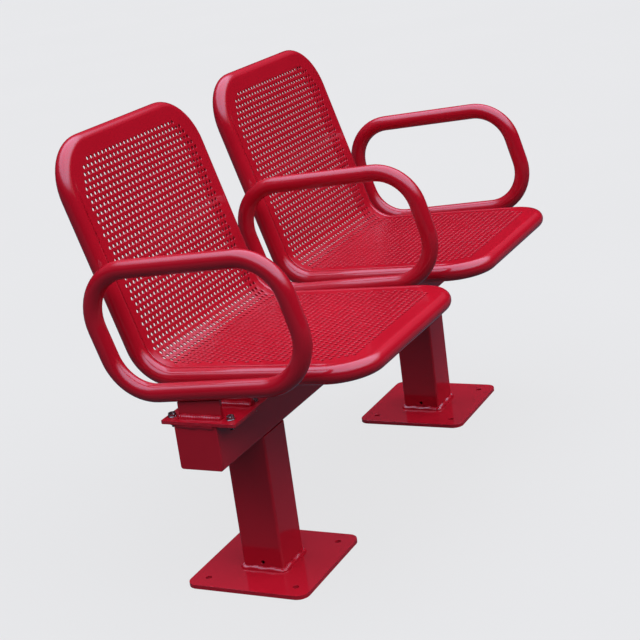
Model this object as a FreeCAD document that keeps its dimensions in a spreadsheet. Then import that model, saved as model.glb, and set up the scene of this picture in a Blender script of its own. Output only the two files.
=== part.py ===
"""Two-seat bench: two bent-tube seats with perforated steel shells and three tube arm loops,
carried by brackets on one square beam, which stands on two posts with base plates.

Millimetres. +Z is up, X runs along the beam and a sitter looks along -Y. The origin lies on the
floor, midway between the two posts. Left is the -X end.
"""
import FreeCAD, Part
import math
import os
import Sketcher
from FreeCAD import Vector

# Driving dimensions: name in the sheet, size, what it measures
DIMENSIONS = [
    ("post_inset", 194, "from the beam's end face to a post's axis"),
    ("post_side", 85, "square post, outside"),
    ("post_wall", 3, "wall of the post tube"),
    ("post_corner", 5, "outside corner radius of the post tube"),
    ("anchor_pitch", 184, "between floor anchor holes of one plate, both ways"),
    ("anchor_hole", 12, "diameter of a floor anchor hole"),
    ("anchor_edge", 33, "from an anchor hole's axis to the plate's edge"),
    ("plate_thick", 8, "base plate thickness"),
    ("plate_corner", 22, "base plate corner radius"),
    ("drain_hole", 8, "diameter of the drain hole in the foot of a post"),
    ("drain_rise", 15, "from the plate to the drain hole's axis"),
    ("beam_underside", 279, "floor to the underside of the beam"),
    ("beam_side", 85, "square beam, outside"),
    ("beam_wall", 3, "wall of the beam tube"),
    ("beam_corner", 5, "outside corner radius of the beam tube"),
    ("beam_overhang", 21, "from an end arm's axis to the beam's end face"),
    ("cap_thick", 4, "end cap of the beam"),
    ("saddle_thick", 3, "plate welded to the beam"),
    ("flange_thick", 3, "foot plate of a bracket"),
    ("flange_lip", 3, "how far the end plates pass the beam's end face"),
    ("flange_reach", 41, "from a side tube's axis to the inner edge of its plates"),
    ("flange_corner", 4, "corner radius of saddle plates and flanges"),
    ("bolt_size", 8, "bolt thread diameter"),
    ("bolt_play", 1, "bolt hole diameter less bolt diameter"),
    ("bolt_inset", 23, "from a plate's end to the bolt axes, along the beam"),
    ("bolt_edge", 15.5, "from the bolt axes to a plate's long edge"),
    ("bolt_tail", 5, "thread that stands out of the nut"),
    ("head_across", 13, "bolt head and nut across flats"),
    ("head_height", 5.3, "bolt head height"),
    ("nut_height", 6.5, "nut height"),
    ("washer_size", 16, "washer outside diameter"),
    ("washer_thick", 1.6, "washer thickness"),
    ("spanner_gap", 7.5, "between a washer and the end of an arm's upright"),
    ("bracket_shift", 3, "how far bolts and uprights are centred in front of the beam's axis"),
    ("plate_shift", 4, "how far saddle plates and flanges are centred in front of the bolts"),
    ("upright_lap", 0.5, "half of what an arm's upright is wider than the beam"),
    ("seat_upright_width", 133, "upright under a seat's side tube, front to rear"),
    ("upright_thick", 8, "upright plate thickness"),
    ("tube_size", 33.7, "round tube of arms and seat frames, outside"),
    ("tube_wall", 2.6, "wall of the round tube"),
    ("side_gap", 32.8, "clear gap between a seat's side tube and the arm"),
    ("arm_rear_y", 145, "rear bottom corner of the arm's centre line, behind the beam's axis"),
    ("arm_rear_rise", 36.6, "the same corner above the bracket's flange"),
    ("arm_tilt", 4.93, "degrees that the arm's long runs rise to the front"),
    ("arm_bottom_run", 390.6, "centre line of the bottom run, corner to corner"),
    ("arm_top_run", 398.9, "centre line of the top run, corner to corner"),
    ("arm_height", 222.8, "rear bottom to rear top corner, upwards"),
    ("arm_lean", 66.8, "rear bottom to rear top corner, rearwards"),
    ("arm_bend", 87, "bend radius of the arm's centre line"),
    ("seat_width", 440, "between the centre lines of a seat's side tubes"),
    ("heel_y", 138.7, "corner of seat and back on the side tube's centre line, behind the beam's axis"),
    ("heel_rise", 42.6, "the same corner above the bracket's flange"),
    ("seat_depth", 424.8, "heel corner to the front tube's centre line"),
    ("seat_tilt", 3.06, "degrees that the seat rises to the front"),
    ("back_height", 433.7, "heel corner to the top tube's centre line"),
    ("back_recline", 16.3, "degrees of the back from upright"),
    ("heel_bend", 75.5, "bend radius between seat and back"),
    ("top_bend", 86.5, "bend radius of the two top corners"),
    ("front_bend", 70.2, "bend radius of the two front corners"),
    ("shell_thick", 3, "perforated sheet thickness"),
    ("opening_size", 20.5, "diameter of an opening in a shell"),
    ("opening_pitch", 33.5, "between openings of a shell, both ways"),
    ("opening_side", 35, "least distance of the openings' axes from a side tube's axis"),
    ("opening_top", 60, "from the top tube's axis to the highest row of openings"),
    ("opening_front", 50, "from the front tube's axis to the foremost row of openings"),
    ("opening_heel", 14, "least distance of the openings' axes from the heel bend"),
    ("weld_leg", 5, "leg length of a fillet weld"),
    ("fit_gap", 0.3, "clearance where a round face meets another piece"),
]

doc = FreeCAD.newDocument("bench")
sizes = doc.addObject("Spreadsheet::Sheet", "sizes")
for row, (alias, number, note) in enumerate(DIMENSIONS, start=1):
    sizes.set(f"A{row}", note)
    sizes.set(f"B{row}", str(number))
    sizes.setAlias(f"B{row}", alias)
doc.recompute()

# Heights and places that follow from the driving dimensions
BEAM_TOP = "(sizes.beam_underside + sizes.beam_side)"
SADDLE_TOP = f"({BEAM_TOP} + sizes.saddle_thick)"
FLANGE_TOP = f"({SADDLE_TOP} + sizes.flange_thick)"
ARM_PITCH = "(sizes.seat_width + 2 * (sizes.tube_size + sizes.side_gap))"
OUTER_TUBE_X = f"(({ARM_PITCH} + sizes.seat_width) / 2)"
INNER_TUBE_X = f"(({ARM_PITCH} - sizes.seat_width) / 2)"
BEAM_END = f"({ARM_PITCH} + sizes.beam_overhang)"
ARM_UPRIGHT_WIDTH = "(sizes.beam_side + 2 * sizes.upright_lap)"
BOLT_REACH = f"({ARM_UPRIGHT_WIDTH} / 2 + sizes.spanner_gap + sizes.washer_size / 2)"
PLATE_DEPTH = f"(2 * ({BOLT_REACH} + sizes.bolt_edge))"
ARM_HEEL_Z = f"({FLANGE_TOP} + sizes.arm_rear_rise)"
HEEL_Z = f"({FLANGE_TOP} + sizes.heel_rise)"
ARM_TILT = "(sizes.arm_tilt * 1 deg)"
SEAT_TILT = "(sizes.seat_tilt * 1 deg)"
RECLINE = "(sizes.back_recline * 1 deg)"
TUBE_RADIUS = "(sizes.tube_size / 2)"
SHELL_INSET = "(sqrt(sizes.shell_thick * (sizes.tube_size - sizes.shell_thick)) + sizes.fit_gap)"
HEEL_REACH = f"(sizes.heel_bend * tan((90 deg - {RECLINE} + {SEAT_TILT}) / 2))"
SHELL_COLUMNS = "(floor((sizes.seat_width - 2 * sizes.opening_side) / sizes.opening_pitch) + 1)"
BACK_RUN = "(sizes.back_height - sizes.opening_top)"
SEAT_RUN = "(sizes.seat_depth - sizes.opening_front)"

# Brackets: name, middle of the plates along X, half of the plates' length
END_PLATE_OUT = f"({BEAM_END} + sizes.flange_lip)"
END_PLATE_IN = f"({OUTER_TUBE_X} - sizes.flange_reach)"
END_X = f"(({END_PLATE_OUT} + {END_PLATE_IN}) / 2)"
END_HALF = f"(({END_PLATE_OUT} - {END_PLATE_IN}) / 2)"
MIDDLE_HALF = f"({INNER_TUBE_X} + sizes.flange_reach)"
BRACKETS = [("left", f"-{END_X}", END_HALF), ("middle", "0", MIDDLE_HALF), ("right", END_X, END_HALF)]
POST_X = f"({BEAM_END} - sizes.post_inset)"
POSTS = [("left", f"-{POST_X}"), ("right", POST_X)]
ARMS = [("left", f"-{ARM_PITCH}"), ("middle", "0"), ("right", ARM_PITCH)]
SEATS = [("left", f"-{ARM_PITCH} / 2"), ("right", f"{ARM_PITCH} / 2")]
SIDE_TUBES = [
    ("left_outer", f"-{OUTER_TUBE_X}"),
    ("left_inner", f"-{INNER_TUBE_X}"),
    ("right_inner", INNER_TUBE_X),
    ("right_outer", OUTER_TUBE_X),
]

sub_parts = []


def value(expression):
    return float(sizes.evalExpression(expression))


# Document objects

def add_sub_part(kind, label):
    part = doc.addObject(kind, label)
    part.Label = label
    sub_parts.append(part)
    return part


def place(part, x="0", y="0", z="0"):
    for axis, expression in (("x", x), ("y", y), ("z", z)):
        part.setExpression(f"Placement.Base.{axis}", expression)


def add_sketch(body, role):
    sketch = body.newObject("Sketcher::SketchObject", f"{body.Label}_sketch")
    plane = next(item for item in body.Origin.OriginFeatures if item.Role == role)
    sketch.AttachmentSupport = [(plane, "")]
    sketch.MapMode = "FlatFace"
    return sketch


def drive(sketch, constraint, expression):
    index = sketch.addConstraint(constraint)
    sketch.setExpression(f"Constraints[{index}]", expression)


def pin_point(sketch, geometry, end, x, y):
    drive(sketch, Sketcher.Constraint("DistanceX", -1, 1, geometry, end, value(x)), x)
    drive(sketch, Sketcher.Constraint("DistanceY", -1, 1, geometry, end, value(y)), y)


def corner_arc(before, corner, after, radius):
    """Tangent points and centre of the bend that rounds a corner."""
    back = (before - corner).normalize()
    ahead = (after - corner).normalize()
    half_angle = back.getAngle(ahead) / 2
    reach = radius / math.tan(half_angle)
    centre = corner + (back + ahead).normalize() * (radius / math.sin(half_angle))
    return corner + back * reach, corner + ahead * reach, centre


def draw_loop(sketch, corners):
    """Closed outline through (x, y, bend radius) corners, all expressions; a bend of None is sharp."""
    points = [Vector(value(x), value(y), 0) for x, y, bend in corners]
    starts = []
    ends = []
    bends = []
    for i, (x, y, bend) in enumerate(corners):
        entry = points[i]
        leave = points[i]
        if bend is not None:
            after = points[(i + 1) % len(points)]
            entry, leave, centre = corner_arc(points[i - 1], points[i], after, value(bend))
            bends.append((i, centre))
        ends.append(entry)
        starts.append(leave)
    lines = []
    for i, start in enumerate(starts):
        lines.append(sketch.addGeometry(Part.LineSegment(start, ends[(i + 1) % len(ends)])))
    for i, centre in bends:
        add_bend(sketch, corners[i], points[i], ends[i], starts[i], centre, lines[i - 1], lines[i])
    for i, (x, y, bend) in enumerate(corners):
        if bend is None:
            sketch.addConstraint(Sketcher.Constraint("Coincident", lines[i - 1], 2, lines[i], 1))
            pin_point(sketch, lines[i], 1, x, y)


def add_bend(sketch, corner, point, entry, leave, centre, line_in, line_out):
    """Arc between two lines, tangent to both, whose lines meet at the corner's construction point."""
    x, y, bend = corner
    turn_in = math.atan2(entry.y - centre.y, entry.x - centre.x)
    turn_out = math.atan2(leave.y - centre.y, leave.x - centre.x)
    anticlockwise = (turn_out - turn_in) % (2 * math.pi) < math.pi
    angles = (turn_in, turn_out) if anticlockwise else (turn_out, turn_in)
    first, last = (1, 2) if anticlockwise else (2, 1)
    circle = Part.Circle(centre, Vector(0, 0, 1), value(bend))
    arc = sketch.addGeometry(Part.ArcOfCircle(circle, *angles))
    mark = sketch.addGeometry(Part.Point(point), True)
    sketch.addConstraint(Sketcher.Constraint("Tangent", line_in, 2, arc, first))
    sketch.addConstraint(Sketcher.Constraint("Tangent", arc, last, line_out, 1))
    drive(sketch, Sketcher.Constraint("Radius", arc, value(bend)), bend)
    sketch.addConstraint(Sketcher.Constraint("PointOnObject", mark, 1, line_in))
    sketch.addConstraint(Sketcher.Constraint("PointOnObject", mark, 1, line_out))
    pin_point(sketch, mark, 1, x, y)


def draw_rectangle(sketch, half_x, half_y, bend, middle_y="0"):
    low_y = f"{middle_y} - {half_y}"
    high_y = f"{middle_y} + {half_y}"
    left = f"-{half_x}"
    corners = [(left, low_y), (half_x, low_y), (half_x, high_y), (left, high_y)]
    draw_loop(sketch, [(x, y, bend) for x, y in corners])


def draw_circle(sketch, x, y, diameter):
    circle = Part.Circle(Vector(value(x), value(y), 0), Vector(0, 0, 1), value(diameter) / 2)
    ring = sketch.addGeometry(circle)
    drive(sketch, Sketcher.Constraint("Diameter", ring, value(diameter)), diameter)
    pin_point(sketch, ring, 3, x, y)


def draw_four_circles(sketch, half_x, half_y, diameter):
    for sign_x in ("-", ""):
        for sign_y in ("-", ""):
            draw_circle(sketch, sign_x + half_x, sign_y + half_y, diameter)


def add_pad(body, sketch, length, symmetric=False):
    pad = body.newObject("PartDesign::Pad", f"{body.Label}_pad")
    pad.Profile = sketch
    pad.setExpression("Length", length)
    if symmetric:
        pad.SideType = "Symmetric"
    doc.recompute()
    return pad


# Feet: base plates and posts

def make_base_plate(label, x):
    body = add_sub_part("PartDesign::Body", label)
    sketch = add_sketch(body, "XY_Plane")
    half = "(sizes.anchor_pitch / 2 + sizes.anchor_edge)"
    draw_rectangle(sketch, half, half, "sizes.plate_corner")
    draw_four_circles(sketch, "sizes.anchor_pitch / 2", "sizes.anchor_pitch / 2", "sizes.anchor_hole")
    add_pad(body, sketch, "sizes.plate_thick")
    place(body, x=x)


def draw_square_tube(sketch, side, wall, corner, middle_y="0"):
    draw_rectangle(sketch, f"{side} / 2", f"{side} / 2", corner, middle_y)
    inner = f"({side} / 2 - {wall})"
    draw_rectangle(sketch, inner, inner, f"({corner} - {wall})", middle_y)


def make_post(label, x):
    body = add_sub_part("PartDesign::Body", label)
    sketch = add_sketch(body, "XY_Plane")
    draw_square_tube(sketch, "sizes.post_side", "sizes.post_wall", "sizes.post_corner")
    tube = add_pad(body, sketch, "sizes.beam_underside - sizes.plate_thick")
    hole = add_sketch(body, "YZ_Plane")
    draw_circle(hole, "0", "sizes.drain_rise", "sizes.drain_hole")
    drain = body.newObject("PartDesign::Pocket", f"{label}_drain")
    drain.Profile = hole
    drain.Type = "ThroughAll"
    drain.SideType = "Symmetric"
    doc.recompute()
    if drain.Shape.Volume >= tube.Shape.Volume:
        raise RuntimeError(f"{label}: the drain hole cuts nothing")
    place(body, x=x, z="sizes.plate_thick")


def rounded_square(side, corner, z):
    """Closed wire of a square with round corners, level at height z."""
    half = side / 2
    signs = [(-1, -1), (1, -1), (1, 1), (-1, 1)]
    return bent_wire([(Vector(sx * half, sy * half, z), corner) for sx, sy in signs])


def bent_wire(corners):
    """Closed wire of straight runs and tangent bends through (point, bend radius) corners."""
    arcs = []
    for i, (point, bend) in enumerate(corners):
        after = corners[(i + 1) % len(corners)][0]
        entry, leave, centre = corner_arc(corners[i - 1][0], point, after, bend)
        middle = centre + (point - centre).normalize() * bend
        arcs.append((entry, middle, leave))
    edges = []
    for i, (entry, middle, leave) in enumerate(arcs):
        edges.append(Part.Arc(entry, middle, leave).toShape())
        edges.append(Part.LineSegment(leave, arcs[(i + 1) % len(arcs)][0]).toShape())
    return Part.Wire(edges)


def make_foot_weld(label, x):
    """Fillet weld all round the foot of a post."""
    part = add_sub_part("Part::Feature", label)
    leg = value("sizes.weld_leg")
    gap = value("sizes.fit_gap")
    side = value("sizes.post_side") + 2 * gap
    corner = value("sizes.post_corner") + gap
    foot = rounded_square(side + 2 * leg, corner + leg, 0)
    neck = rounded_square(side + 2 * gap, corner + gap, leg)
    bead = Part.makeLoft([foot, neck], True, True)
    core = Part.Face(rounded_square(side, corner, 0)).extrude(Vector(0, 0, leg))
    part.Shape = bead.cut(core)
    place(part, x=x, z="sizes.plate_thick")


# Beam and its end caps

BEAM_MIDDLE = "(sizes.beam_underside + sizes.beam_side / 2)"


def make_beam(label):
    body = add_sub_part("PartDesign::Body", label)
    sketch = add_sketch(body, "YZ_Plane")
    draw_square_tube(sketch, "sizes.beam_side", "sizes.beam_wall", "sizes.beam_corner", BEAM_MIDDLE)
    add_pad(body, sketch, f"2 * ({BEAM_END} - sizes.cap_thick)", symmetric=True)
    place(body)


def make_end_cap(label, x):
    body = add_sub_part("PartDesign::Body", label)
    sketch = add_sketch(body, "YZ_Plane")
    half = "sizes.beam_side / 2"
    draw_rectangle(sketch, half, half, "sizes.beam_corner", BEAM_MIDDLE)
    add_pad(body, sketch, "sizes.cap_thick", symmetric=True)
    place(body, x=x)


# Brackets: saddle plate on the beam, flange bolted to it, uprights under the tubes

def make_bracket_plate(label, x, half_length, thick, z):
    body = add_sub_part("PartDesign::Body", label)
    sketch = add_sketch(body, "XY_Plane")
    draw_rectangle(sketch, half_length, f"{PLATE_DEPTH} / 2", "sizes.flange_corner", "-sizes.plate_shift")
    hole = "(sizes.bolt_size + sizes.bolt_play)"
    draw_four_circles(sketch, f"({half_length} - sizes.bolt_inset)", BOLT_REACH, hole)
    add_pad(body, sketch, thick)
    place(body, x=x, y="-sizes.bracket_shift", z=z)


def make_upright(label, x, width, corner_y, corner_z, tilt):
    """Plate across the beam whose top edge follows the underside of a rising tube."""
    body = add_sub_part("PartDesign::Body", label)
    sketch = add_sketch(body, "YZ_Plane")
    front = f"(-sizes.bracket_shift - {width} / 2)"
    rear = f"(-sizes.bracket_shift + {width} / 2)"
    under = f"({TUBE_RADIUS} + sizes.fit_gap) / cos({tilt})"
    front_top = f"{corner_z} + ({corner_y} - {front}) * tan({tilt}) - {under}"
    rear_top = f"{corner_z} + ({corner_y} - {rear}) * tan({tilt}) - {under}"
    corners = [(front, FLANGE_TOP), (rear, FLANGE_TOP), (rear, rear_top), (front, front_top)]
    draw_loop(sketch, [(y, z, None) for y, z in corners])
    add_pad(body, sketch, "sizes.upright_thick", symmetric=True)
    place(body, x=x)


def bead_along(axis, length, corner, first_leg, second_leg):
    """Triangular weld bead along an axis, in the corner between its two legs."""
    start = corner - axis * (length / 2)
    outline = Part.makePolygon([start, start + first_leg, start + second_leg, start])
    return Part.Face(outline).extrude(axis * length)


def make_upright_welds(label):
    """Fillet welds on both faces of each upright, where it stands on its flange."""
    part = add_sub_part("Part::Feature", label)
    leg = value("sizes.weld_leg")
    half_thick = value("sizes.upright_thick") / 2
    beads = []
    middle_y = -value("sizes.bracket_shift")
    uprights = [(x, ARM_UPRIGHT_WIDTH) for name, x in ARMS]
    uprights += [(x, "sizes.seat_upright_width") for name, x in SIDE_TUBES]
    for x, width in uprights:
        for side in (-1, 1):
            corner = Vector(value(x) + side * half_thick, middle_y, value(FLANGE_TOP))
            legs = (Vector(side * leg, 0, 0), Vector(0, 0, leg))
            beads.append(bead_along(Vector(0, 1, 0), value(width), corner, *legs))
    part.Shape = Part.makeCompound(beads)


def make_saddle_welds(label):
    """Fillet welds under the saddle plates: between the bolts at the beam's sides, and on its ends."""
    part = add_sub_part("Part::Feature", label)
    leg = value("sizes.weld_leg")
    top = value(BEAM_TOP)
    down = Vector(0, 0, -leg)
    beads = []
    for name, x, half_length in BRACKETS:
        length = value(f"2 * ({half_length} - sizes.bolt_inset) - sizes.washer_size")
        for side in (-1, 1):
            corner = Vector(value(x), side * value("sizes.beam_side") / 2, top)
            beads.append(bead_along(Vector(1, 0, 0), length, corner, Vector(0, side * leg, 0), down))
    flat_width = value("sizes.beam_side - 2 * sizes.beam_corner")
    lip = value("sizes.flange_lip")
    for side in (-1, 1):
        corner = Vector(side * value(BEAM_END), 0, top)
        beads.append(bead_along(Vector(0, 1, 0), flat_width, corner, Vector(side * lip, 0, 0), down))
    part.Shape = Part.makeCompound(beads)


# Bracket bolts with washers and nuts

def bolt_axes():
    for name, x, half_length in BRACKETS:
        reach = value(half_length) - value("sizes.bolt_inset")
        for side_x in (-1, 1):
            for side_y in (-1, 1):
                y = side_y * value(BOLT_REACH) - value("sizes.bracket_shift")
                yield Vector(value(x) + side_x * reach, y, 0)


def hexagon(across, height, z):
    radius = across / math.sqrt(3)
    points = []
    for step in range(7):
        turn = math.radians(60 * step)
        points.append(Vector(radius * math.cos(turn), radius * math.sin(turn), z))
    return Part.Face(Part.makePolygon(points)).extrude(Vector(0, 0, height))


def make_fasteners(label, shapes):
    """Copies of one fastener's solids on every bolt axis."""
    part = add_sub_part("Part::Feature", label)
    solids = []
    for axis in bolt_axes():
        for shape in shapes:
            solids.append(shape.translated(axis))
    part.Shape = Part.makeCompound(solids)


def make_bolt_sets():
    bolt = value("sizes.bolt_size") / 2
    thread_play = value("sizes.fit_gap")
    washer = value("sizes.washer_thick")
    nut = value("sizes.nut_height")
    top = value(FLANGE_TOP)
    bottom = value(BEAM_TOP)
    seat = top + washer
    tip = bottom - washer - nut - value("sizes.bolt_tail")
    across = value("sizes.head_across")
    shank = Part.makeCylinder(bolt, seat - tip, Vector(0, 0, tip))
    head = hexagon(across, value("sizes.head_height"), seat)
    make_fasteners("bracket_bolts", [head.fuse(shank).removeSplitter()])
    washers = []
    for z in (top, bottom - washer):
        disc = Part.makeCylinder(value("sizes.washer_size") / 2, washer, Vector(0, 0, z))
        washers.append(disc.cut(Part.makeCylinder(bolt + thread_play, washer, Vector(0, 0, z))))
    make_fasteners("bracket_washers", washers)
    nut_base = bottom - washer - nut
    thread = Part.makeCylinder(bolt + thread_play, nut, Vector(0, 0, nut_base))
    make_fasteners("bracket_nuts", [hexagon(across, nut, nut_base).cut(thread)])


# Arms: closed loops of round tube

def make_arm(label, x):
    body = add_sub_part("PartDesign::Body", label)
    spine = add_sketch(body, "YZ_Plane")
    rear_top_y = "(sizes.arm_rear_y + sizes.arm_lean)"
    rear_top_z = f"({ARM_HEEL_Z} + sizes.arm_height)"
    corners = [
        ("sizes.arm_rear_y", ARM_HEEL_Z),
        (rear_top_y, rear_top_z),
        (f"{rear_top_y} - sizes.arm_top_run * cos({ARM_TILT})",
         f"{rear_top_z} + sizes.arm_top_run * sin({ARM_TILT})"),
        (f"sizes.arm_rear_y - sizes.arm_bottom_run * cos({ARM_TILT})",
         f"{ARM_HEEL_Z} + sizes.arm_bottom_run * sin({ARM_TILT})"),
    ]
    draw_loop(spine, [(y, z, "sizes.arm_bend") for y, z in corners])
    doc.recompute()
    add_pipe(body, spine, "PartDesign::AdditivePipe", "sizes.tube_size")
    add_pipe(body, spine, "PartDesign::SubtractivePipe", "(sizes.tube_size - 2 * sizes.tube_wall)")
    place(body, x=x)


def add_pipe(body, spine, kind, diameter):
    ring = body.newObject("Sketcher::SketchObject", f"{body.Label}_ring")
    ring.AttachmentSupport = [(spine, "Edge1")]
    ring.MapMode = "NormalToEdge"
    draw_circle(ring, "0", "0", diameter)
    doc.recompute()
    pipe = body.newObject(kind, f"{body.Label}_pipe")
    pipe.Profile = ring
    pipe.Spine = (spine, [])
    doc.recompute()


# Seats: a bent tube frame and the perforated sheet that lies flush in its front

def heel_offset(distance):
    """Where seat and back lines meet when both move towards the sitter by a distance."""
    spread = f"({distance}) / (1 + sin({RECLINE} - {SEAT_TILT}))"
    y = f"sizes.heel_y + {spread} * (sin({SEAT_TILT}) - cos({RECLINE}))"
    z = f"{HEEL_Z} + {spread} * (cos({SEAT_TILT}) + sin({RECLINE}))"
    return y, z


def back_point(along, distance="0"):
    """Point of the back line at a length above the heel, moved towards the sitter."""
    y = f"sizes.heel_y + ({along}) * sin({RECLINE}) - ({distance}) * cos({RECLINE})"
    z = f"{HEEL_Z} + ({along}) * cos({RECLINE}) + ({distance}) * sin({RECLINE})"
    return y, z


def seat_point(along, distance="0"):
    """Point of the seat line at a length in front of the heel, moved towards the sitter."""
    y = f"sizes.heel_y - ({along}) * cos({SEAT_TILT}) + ({distance}) * sin({SEAT_TILT})"
    z = f"{HEEL_Z} + ({along}) * sin({SEAT_TILT}) + ({distance}) * cos({SEAT_TILT})"
    return y, z


def make_seat_frame(label, x):
    """One closed tube: up a side, across the top, down the other side and round the front."""
    part = add_sub_part("Part::Feature", label)
    half = value("sizes.seat_width / 2")
    side = [
        (back_point("sizes.back_height"), value("sizes.top_bend")),
        (heel_offset("0"), value("sizes.heel_bend")),
        (seat_point("sizes.seat_depth"), value("sizes.front_bend")),
    ]
    corners = [(Vector(-half, value(y), value(z)), bend) for (y, z), bend in side]
    corners += [(Vector(half, value(y), value(z)), bend) for (y, z), bend in reversed(side)]
    path = bent_wire(corners)
    run = path.Edges[1]
    along = run.tangentAt(run.FirstParameter)
    outside = value(TUBE_RADIUS)
    skins = []
    for radius in (outside, outside - value("sizes.tube_wall")):
        ring = Part.Wire(Part.makeCircle(radius, run.valueAt(run.FirstParameter), along))
        skins.append(Part.Wire(run_first(path)).makePipeShell([ring], True, False))
    part.Shape = skins[0].cut(skins[1])
    place(part, x=x)


def run_first(path):
    """Edges of a closed path, turned so that a straight run comes first."""
    return path.Edges[1:] + path.Edges[:1]


def make_seat_shell(label, x):
    """Sheet bent at the heel and perforated, its front face level with the front of the tube."""
    body = add_sub_part("PartDesign::Body", label)
    sketch = add_sketch(body, "YZ_Plane")
    face = TUBE_RADIUS
    rear = f"({TUBE_RADIUS} - sizes.shell_thick)"
    top = f"(sizes.back_height - {SHELL_INSET})"
    front = f"(sizes.seat_depth - {SHELL_INSET})"
    draw_loop(sketch, [
        (*back_point(top, face), None),
        (*heel_offset(face), f"(sizes.heel_bend - {face})"),
        (*seat_point(front, face), None),
        (*seat_point(front, rear), None),
        (*heel_offset(rear), f"(sizes.heel_bend - {rear})"),
        (*back_point(top, rear), None),
    ])
    sheet = add_pad(body, sketch, f"sizes.seat_width - 2 * {SHELL_INSET}", symmetric=True)
    corner_edges = [
        (f"Edge{number}", edge.CenterOfMass.z)
        for number, edge in enumerate(sheet.Shape.Edges, start=1)
        if math.isclose(edge.Length, value("sizes.shell_thick"), rel_tol=1e-6)
    ]
    heel_height = value(heel_offset("sizes.heel_bend")[1])
    top_edges = [name for name, height in corner_edges if height > heel_height]
    front_edges = [name for name, height in corner_edges if height <= heel_height]
    rounded = add_round(body, sheet, top_edges, f"sizes.top_bend - {SHELL_INSET}")
    matched = same_edges(rounded.Shape, sheet.Shape, front_edges)
    add_round(body, rounded, matched, f"sizes.front_bend - {SHELL_INSET}")
    middle = f"({TUBE_RADIUS} - sizes.shell_thick / 2)"
    add_openings(body, back_point("0", middle), f"90 deg - {RECLINE}", BACK_RUN)
    add_openings(body, seat_point("0", middle), f"180 deg - {SEAT_TILT}", SEAT_RUN)
    place(body, x=x)


def add_openings(body, heel, slope, farthest):
    """Grid of round openings in one flat, from a row at a distance off the heel back to the bend."""
    sketch = add_sketch(body, "XY_Plane")
    sketch.AttachmentOffset = FreeCAD.Placement(Vector(), FreeCAD.Rotation(Vector(1, 0, 0), value(slope)))
    sketch.setExpression("AttachmentOffset.Base.y", heel[0])
    sketch.setExpression("AttachmentOffset.Base.z", heel[1])
    sketch.setExpression("AttachmentOffset.Rotation.Angle", slope)
    rows = f"(floor(({farthest} - {HEEL_REACH} - sizes.opening_heel) / sizes.opening_pitch) + 1)"
    first_x = f"-({SHELL_COLUMNS} - 1) / 2 * sizes.opening_pitch"
    first_row = f"{farthest} - ({rows} - 1) * sizes.opening_pitch"
    draw_circle(sketch, first_x, first_row, "sizes.opening_size")
    before = body.Tip.Shape.Volume
    opening = body.newObject("PartDesign::Pocket", f"{body.Label}_opening")
    opening.Profile = sketch
    opening.SideType = "Symmetric"
    opening.setExpression("Length", "2 * sizes.shell_thick")
    doc.recompute()
    cut = before - opening.Shape.Volume
    grid = body.newObject("PartDesign::LinearPattern", f"{body.Label}_openings")
    grid.Originals = [opening]
    grid.Direction = (sketch, ["H_Axis"])
    grid.Direction2 = (sketch, ["V_Axis"])
    grid.setExpression("Length", f"({SHELL_COLUMNS} - 1) * sizes.opening_pitch")
    grid.setExpression("Length2", f"({rows} - 1) * sizes.opening_pitch")
    grid.setExpression("Occurrences", SHELL_COLUMNS)
    grid.setExpression("Occurrences2", rows)
    body.Tip = grid
    doc.recompute()
    wanted = cut * value(SHELL_COLUMNS) * value(rows)
    if cut <= 0 or not math.isclose(before - grid.Shape.Volume, wanted, rel_tol=1e-6):
        raise RuntimeError(f"{body.Label}: the grid lacks openings")


def same_edges(shape, older_shape, names):
    """Names in a shape of the edges that an older shape holds at the same places."""
    spots = [older_shape.getElement(name).CenterOfMass for name in names]
    found = []
    for number, edge in enumerate(shape.Edges, start=1):
        if any(edge.CenterOfMass.isEqual(spot, 1e-6) for spot in spots):
            found.append(f"Edge{number}")
    return found


def add_round(body, base, edges, radius):
    fillet = body.newObject("PartDesign::Fillet", f"{body.Label}_round")
    fillet.Base = (base, edges)
    fillet.setExpression("Radius", radius)
    doc.recompute()
    return fillet


# Assembly, from the floor up

for name, x in POSTS:
    make_base_plate(f"base_plate_{name}", x)
    make_post(f"post_{name}", x)
    make_foot_weld(f"post_foot_weld_{name}", x)
make_beam("cross_beam")
make_end_cap("beam_end_cap_left", f"-{BEAM_END} + sizes.cap_thick / 2")
make_end_cap("beam_end_cap_right", f"{BEAM_END} - sizes.cap_thick / 2")
for name, x, half_length in BRACKETS:
    make_bracket_plate(f"saddle_plate_{name}", x, half_length, "sizes.saddle_thick", BEAM_TOP)
    make_bracket_plate(f"bracket_flange_{name}", x, half_length, "sizes.flange_thick", SADDLE_TOP)
make_saddle_welds("saddle_welds")
make_bolt_sets()
for name, x in ARMS:
    make_upright(f"arm_upright_{name}", x, ARM_UPRIGHT_WIDTH, "sizes.arm_rear_y", ARM_HEEL_Z, ARM_TILT)
    make_arm(f"arm_loop_{name}", x)
for name, x in SIDE_TUBES:
    width = "sizes.seat_upright_width"
    make_upright(f"seat_upright_{name}", x, width, "sizes.heel_y", HEEL_Z, SEAT_TILT)
make_upright_welds("upright_welds")
for name, x in SEATS:
    make_seat_frame(f"seat_frame_{name}", x)
    make_seat_shell(f"seat_shell_{name}", x)
doc.recompute()

# Nothing is written unless every object and every solid is sound

for item in doc.Objects:
    if "Invalid" in item.State or "Error" in item.State:
        raise RuntimeError(f"{item.Label} failed: {item.State}")
for part in sub_parts:
    if part.Shape.isNull() or not part.Shape.isValid() or not part.Shape.Solids:
        raise RuntimeError(f"{part.Label} has no sound solid")

os.makedirs("parts", exist_ok=True)
for part in sub_parts:
    part.Shape.exportStep(f"parts/{part.Label}.step")
    print(part.Label, len(part.Shape.Solids), "solids", round(part.Shape.Volume / 1000, 1), "cm3")
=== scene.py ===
# Two-seat bench in powder-coated steel, dressed piece by piece from the floor up.
import math
import bmesh
import bpy
from mathutils import Matrix, Quaternion, Vector


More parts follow.
